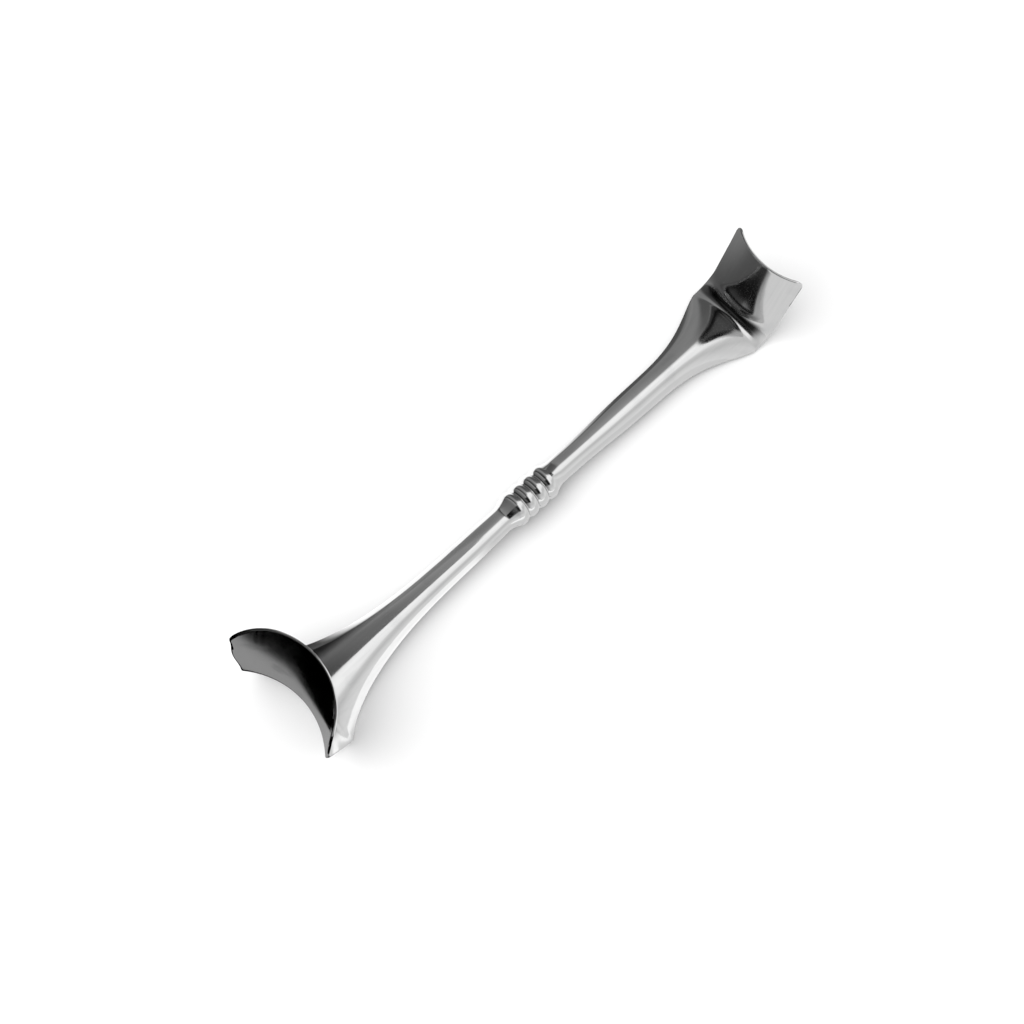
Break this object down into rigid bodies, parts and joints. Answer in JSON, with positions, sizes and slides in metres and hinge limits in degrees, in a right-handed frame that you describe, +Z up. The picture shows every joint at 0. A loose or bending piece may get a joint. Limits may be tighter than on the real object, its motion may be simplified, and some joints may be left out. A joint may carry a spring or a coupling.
{
  "type": "handheld surgical retractor",
  "caption": "Double-ended handheld surgical retractor forged in one piece, with a large and a small curved blade standing up from a ringed stem.",
  "frame": {"origin": "middle of the length and width, on the table that the instrument lies on", "axes": "+X along the stem towards the small blade, +Z up from the table, the way both blades stand, +Y across the instrument"},
  "size_m": [0.1688, 0.0322, 0.0401],
  "materials": {
    "polished_steel": "ground and polished stainless instrument steel, with very fine marks along the stem and blades"
  },
  "bodies": {
    "root": {"retractor": "polished_steel"}
  },
  "joints": []
}
